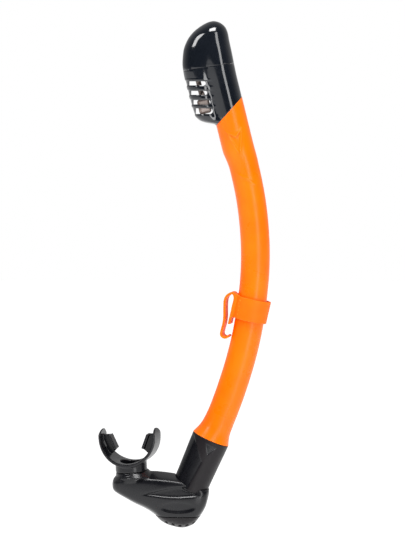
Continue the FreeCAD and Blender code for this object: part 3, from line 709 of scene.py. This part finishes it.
def head_step(z, inset):
    """The distance to the next ring up: short at both ends and along the vents."""
    if z < CAGE_LOW - 1 + inset or z > HEAD_TOP - inset - 3:
        return 0.35
    if CAGE_LOW < z < CAGE_TOP:
        return 1.3 if inset else 0.52
    return 2.0


def head_body(inset=0.0):
    """The dry top's whole form as one closed solid. With an inset it is the space inside the shell."""
    top = HEAD_TOP - inset
    z = INSIDE_LOW + inset if inset else HEAD_LOW
    rings = []
    while z < top:
        rings.append(head_ring(z, inset, top))
        z += head_step(z, inset)
    rings.append(head_ring(top, inset, top))
    return loft("head", rings, GLOSS_BLACK, False, True)


def vent_tool(vent):
    """A slot through both sides of the cage, with a round rear end."""
    z, front, rear, height = vent
    half = height / 2
    outline = [(front, z - half), (rear - half, z - half)]
    outline += [(rear - half + half * math.sin(t), z - half * math.cos(t)) for t in
                (math.pi * k / 10 for k in range(1, 10))]
    outline += [(rear - half, z + half), (front, z + half)]
    rings = [[Vector((x, y, h)) for x, h in outline] for y in (-30, 30)]
    return loft("tool", rings, GLOSS_BLACK, False, True)


def make_dry_top():
    """The dome and the vented housing, cut from one form along their sloping seam."""
    dome = combine(head_body(), slab(SEAM_POINT + SEAM_NORMAL * SEAM_GAP, SEAM_NORMAL), "INTERSECT")
    combine(dome, head_body(HEAD_SHELL))
    dome.name = "dome_shell"
    add_bevel(dome, 0.1, 38)
    settle(dome)
    stand_in(dome, "dry_top_dome")
    housing = combine(head_body(), slab(SEAM_POINT, -SEAM_NORMAL), "INTERSECT")
    combine(housing, slab(CUT_POINT + CUT_NORMAL * MOUTH_GAP, CUT_NORMAL), "INTERSECT")
    hollow = combine(head_body(HEAD_SHELL), rod(COLUMN_BASE, TOP_UP, COLUMN_R, COLUMN_LENGTH))
    combine(housing, hollow)
    combine(housing, rod(COLUMN_BASE, TOP_UP, SOCKET_R, 120))
    for vent in VENTS:
        combine(housing, vent_tool(vent))
    housing.name = "housing_shell"
    add_bevel(housing, 0.12, 38)
    settle(housing)
    stand_in(housing, "vented_housing")


# ---------------------------------------------------------------- chamber, collar, mouthpiece and keeper

COLLAR_START = 28.6                     # distance down the foot's axis
COLLAR_LENGTH = 48.0
COLLAR_END = COLLAR_START + COLLAR_LENGTH
COLLAR_BORE_R = 12.2
COLLAR_SOCKET_R, COLLAR_SOCKET_END = 13.5, 51.3
COLLAR_MARK = 2.0                       # how far the moulded marks lie rear of the middle line
# the collar's outer radius at distances down from its top
COLLAR_OUTSIDE = (
    (0.0, 16.3), (0.3, 16.6), (6.0, 16.55), (20.0, 16.1), (40.0, 15.6), (47.6, 15.55),
    (COLLAR_LENGTH, 15.2),
)
COLLAR_TRIANGLE_DEPTH, COLLAR_FIELD_DEPTH = 0.38, 0.5

# height of top and bottom, half depth, and height of the upper side edge, of the purge chamber at each x
CHAMBER_ROWS = (
    (-16.4, -18.8, -21.2, 2.0, -19.9),
    (-16.0, -16.6, -23.6, 4.6, -18.9),
    (-14.8, -14.0, -25.8, 7.8, -17.4),
    (-12.0, -11.6, -28.0, 10.8, -15.8),
    (-7.0, -9.8, -31.0, 12.9, -14.4),
    (3.0, -8.6, -36.7, 14.1, -13.8),
    (13.0, -8.0, -41.5, 14.7, -13.7),
    (20.0, -7.9, -46.1, 15.4, -13.9),
    (26.5, -8.3, -52.3, 16.0, -14.1),
    (34.0, -9.1, -56.1, 16.6, -14.5),
    (45.0, -11.2, -58.3, 16.9, -16.0),
    (53.6, -15.3, -55.9, 16.8, -19.3),
    (60.5, -18.5, -48.4, 15.8, -22.5),
    (65.4, -20.4, -40.0, 13.4, -24.5),
    (67.8, -22.0, -31.5, 9.0, -25.0),
    (68.6, -24.2, -27.6, 3.6, -25.8),
)
CHAMBER_SHARPNESS = 13
CHAMBER_WALL = 2.4
CHAMBER_STEPS = 240
FIELD_DEPTH = 1.5
WEDGE_TIP, WEDGE_LENGTH = 3.4, 40.0     # along x
WEDGE_MID, WEDGE_RISE, WEDGE_HALF = -27.4, 2.6, 4.6
OVAL_X, OVAL_Z = 41.0, -38.2
OVAL_LONG, OVAL_TALL = 17.0, 5.0
PURGE_PLANE = -47.2
COVER_WALL = 1.8
COVER_GAP = 0.15
GROOVE_DEPTH, GROOVE_PITCH = 0.16, 1.5
SLOTS_AT = (31.0, 37.0, 43.0, 49.0, 55.0)
SLOT_HALF = 1.2
SLOT_INNER, SLOT_OUTER = 3.2, 8.6
SLOT_HEIGHTS = (-70, PURGE_PLANE - 4.5)
NECK_LOW, NECK_TOP = -16.0, -8.4        # along the mouthpiece's axis
NECK_LOW_R, NECK_TOP_R = 14.2, 13.6
CLEARED_R = 14.1                        # what is cleared away over the neck
SADDLE_BASE = Vector((3.6, 0, -13))
SADDLE_R, SADDLE_TOP_R, SADDLE_HEIGHT = 17.0, 11.9, 5.8
CONNECTOR_R = 11.8
COLLAR_HOLE_R = 15.75
MOUTH_AXIS = Vector(JOINTS["mouthpiece_swivel"]["axis"]).normalized()


def chamber_relief(x, z):
    """The two pressed-in fields on each side: a long wedge, and an oval under it."""
    along = (x - WEDGE_TIP) / WEDGE_LENGTH
    middle = WEDGE_MID + WEDGE_RISE * along
    half = WEDGE_HALF * smoothstep(0.0, 1.0, along)
    fade = smoothstep(0.02, 0.3, along) * smoothstep(66, 54, x)
    wedge = smoothstep(-0.6, 0.9, half - abs(z - middle)) * fade
    oval = 1 - math.hypot((x - OVAL_X) / OVAL_LONG, (z - OVAL_Z) / OVAL_TALL)
    return -FIELD_DEPTH * (wedge + smoothstep(-0.08, 0.34, oval))


def outline_reach(corners, direction):
    """How far a rounded outline reaches from the origin, in a direction on its right-hand side."""
    total = 0
    for (y0, z0), (y1, z1) in zip(corners, corners[1:]):
        normal = Vector((z0 - z1, y1 - y0)).normalized()
        total += max(0, normal.dot(direction) / normal.dot(Vector((y0, z0)))) ** CHAMBER_SHARPNESS
    return total ** (-1 / CHAMBER_SHARPNESS)


def chamber_ring(x, inset, count=280):
    """The chamber's outline at an x: a low roof, an upper side edge, tall sides and a rounded bottom."""
    top, bottom, deep, edge = curve_through(CHAMBER_ROWS, x)
    middle, tall = (top + bottom) / 2, (top - bottom) / 2
    shrink_z, shrink_y = (max(1 - inset / size, 0.3) for size in (tall, deep))
    corners = ((0, tall), (0.4 * deep, tall - 0.2 * (top - edge)), (0.965 * deep, edge - middle),
               (deep, -0.15 * tall), (0.94 * deep, -0.45 * tall), (0.66 * deep, -0.84 * tall),
               (0, -1.02 * tall))
    ring = []
    for k in range(count):
        turn = 2 * math.pi * k / count
        up, out = math.cos(turn), math.sin(turn)
        direction = Vector((abs(out) * deep, up * tall))
        place = direction * outline_reach(corners, direction)
        y, z = place.x * shrink_y, middle + place.y * shrink_z
        if not inset:
            facing = smoothstep(0.35, 0.8, y / deep)
            y += chamber_relief(x, z) * facing
            if z < PURGE_PLANE - 0.4:
                y += GROOVE_DEPTH * math.sin(2 * math.pi * z / GROOVE_PITCH) * facing
        ring.append(Vector((x, math.copysign(y, out), z)))
    return ring


def chamber_body(inset=0.0):
    """The chamber's whole form, bulb and cover together, as a closed solid."""
    first, last = CHAMBER_ROWS[0][0], CHAMBER_ROWS[-1][0]
    middle, half = (first + last) / 2, (last - first) / 2
    squeeze = 1 - inset / half
    rings = []
    for k in range(CHAMBER_STEPS + 1):
        x = middle - half * math.cos(math.pi * k / CHAMBER_STEPS)
        ring = chamber_ring(x, inset)
        rings.append([Vector((middle + (p.x - middle) * squeeze, p.y, p.z)) for p in ring])
    return loft("chamber", rings, SILICONE, False, True)


def make_chamber():
    """The soft purge chamber, with its neck and its holes for the collar and the connector."""
    neck = rod(MOUTH_AXIS * NECK_LOW, MOUTH_AXIS, NECK_LOW_R, NECK_TOP - NECK_LOW, end_radius=NECK_TOP_R)
    chamber = combine(chamber_body(), neck, "UNION")
    saddle = rod(SADDLE_BASE, MOUTH_AXIS, SADDLE_R, SADDLE_HEIGHT, end_radius=SADDLE_TOP_R)
    combine(chamber, saddle, "UNION")
    combine(chamber, rod(MOUTH_AXIS * NECK_TOP, MOUTH_AXIS, CLEARED_R, 20))
    combine(chamber, chamber_body(CHAMBER_WALL))
    combine(chamber, rod(MOUTH_AXIS * -24, MOUTH_AXIS, CONNECTOR_R, 40))
    combine(chamber, rod(FOOT_BASE + FOOT_DOWN * (COLLAR_END - 42), FOOT_DOWN, COLLAR_HOLE_R, 42.2))
    combine(chamber, rod(FOOT_BASE + FOOT_DOWN * (COLLAR_END - 12), FOOT_DOWN, COLLAR_BORE_R, 16))
    combine(chamber, slab((0, 0, PURGE_PLANE), (0, 0, 1)), "INTERSECT")
    chamber.name = "chamber_skin"
    fused(chamber, voxel=0.45, rounds=24)
    stand_in(chamber, "purge_chamber")


def make_cover():
    """The stiff cover under the chamber's bulb, with two rows of slots for the water."""
    cover = combine(chamber_body(), slab((0, 0, PURGE_PLANE - COVER_GAP), (0, 0, -1)), "INTERSECT")
    combine(cover, chamber_body(COVER_WALL))
    for x in SLOTS_AT:
        for y in ((-SLOT_OUTER, -SLOT_INNER), (SLOT_INNER, SLOT_OUTER)):
            combine(cover, block((x - SLOT_HALF, x + SLOT_HALF), y, SLOT_HEIGHTS))
    cover.name = "cover_cap"
    set_material(cover.data, COLLAR_BLACK)
    fused(cover, voxel=0.4, rounds=6)
    stand_in(cover, "purge_cover")


def block(x, y, z):
    """A box from pairs of limits, as a tool."""
    corners = ((x[0], y[0]), (x[1], y[0]), (x[1], y[1]), (x[0], y[1]))
    rings = [[Vector((*corner, height)) for corner in corners] for height in z]
    return loft("tool", rings, SILICONE, False, True)


def collar_fields(across, down):
    """How deep the collar's side is pressed in at a place, and whether it is glossy there."""
    from_mark = abs(across - COLLAR_MARK)
    triangle = min(13.5 - down - from_mark * 1.9, down - 3.2)
    left_line = -2.1 + (48.6 - down) * 0.095 - across
    under_vee = down - (21.5 - from_mark * 1.15)
    field = min(left_line, under_vee)
    pressed = COLLAR_TRIANGLE_DEPTH * smoothstep(-0.2, 0.8, triangle)
    pressed += COLLAR_FIELD_DEPTH * smoothstep(-0.3, 1.1, field)
    return pressed, triangle > 0.2 or field > 0.4


def make_collar():
    """The collar between barrel and chamber, with its glossy front field and vee on each side."""
    count = 160
    rings = []
    for down in [0, 0.15, 0.3] + [0.6 + 0.55 * k for k in range(86)] + [COLLAR_LENGTH]:
        centre = FOOT_BASE + FOOT_DOWN * (COLLAR_START + down)
        radius = curve_through(COLLAR_OUTSIDE, down)[0]
        ring = []
        for k in range(count):
            turn = 2 * math.pi * k / count
            out = FOOT_REAR * math.cos(turn) + Y_AXIS * math.sin(turn)
            facing = smoothstep(0.15, 0.5, abs(math.sin(turn)))
            pressed = collar_fields(radius * math.cos(turn), down)[0] * facing
            ring.append(centre + out * (radius - pressed))
        rings.append(ring)
    inside = ((COLLAR_END, COLLAR_BORE_R), (COLLAR_SOCKET_END, COLLAR_BORE_R),
              (COLLAR_SOCKET_END, COLLAR_SOCKET_R), (COLLAR_START, COLLAR_SOCKET_R))
    rings += [circle(FOOT_BASE + FOOT_DOWN * s, FOOT_REAR, Y_AXIS, radius, count) for s, radius in inside]
    collar = loft("collar_sleeve", rings, COLLAR_BLACK)
    collar.data.materials.append(SILICONE)
    for face in collar.data.polygons:
        place = face.center / MM - FOOT_BASE
        s, across = place.dot(FOOT_DOWN), place.dot(FOOT_REAR)
        outside = (place - FOOT_DOWN * s).length > COLLAR_SOCKET_R + 0.5
        if outside and collar_fields(across, s - COLLAR_START)[1] and abs(place.y) > 3:
            face.material_index = 1
    stand_in(collar, "lower_coupling")


def make_mouthpiece():
    """The soft mouthpiece: the frame's form with moulded edges and corners."""
    piece = copy_of("mouthpiece", "bite_mouthpiece", SILICONE)
    fused(piece, voxel=0.36, rounds=12)
    stand_in(piece, "mouthpiece")


def make_keeper():
    """The strap keeper: the frame's form with rounded edges."""
    piece = copy_of("strap_keeper", "keeper_clip", ORANGE_CLIP)
    fused(piece, voxel=0.38, rounds=4)
    stand_in(piece, "strap_keeper")


def round_frame_edges():
    """Rounds the small inner parts' edges where they show through the vents."""
    for name, width in (("float", 0.3), ("float_carrier", 0.3), ("flap_lever", 0.25), ("valve_seat", 0.2)):
        add_bevel(frame["nodes"][name], width, 40)


make_barrel()
make_dry_top()
make_collar()
make_chamber()
make_cover()
make_mouthpiece()
make_keeper()
round_frame_edges()
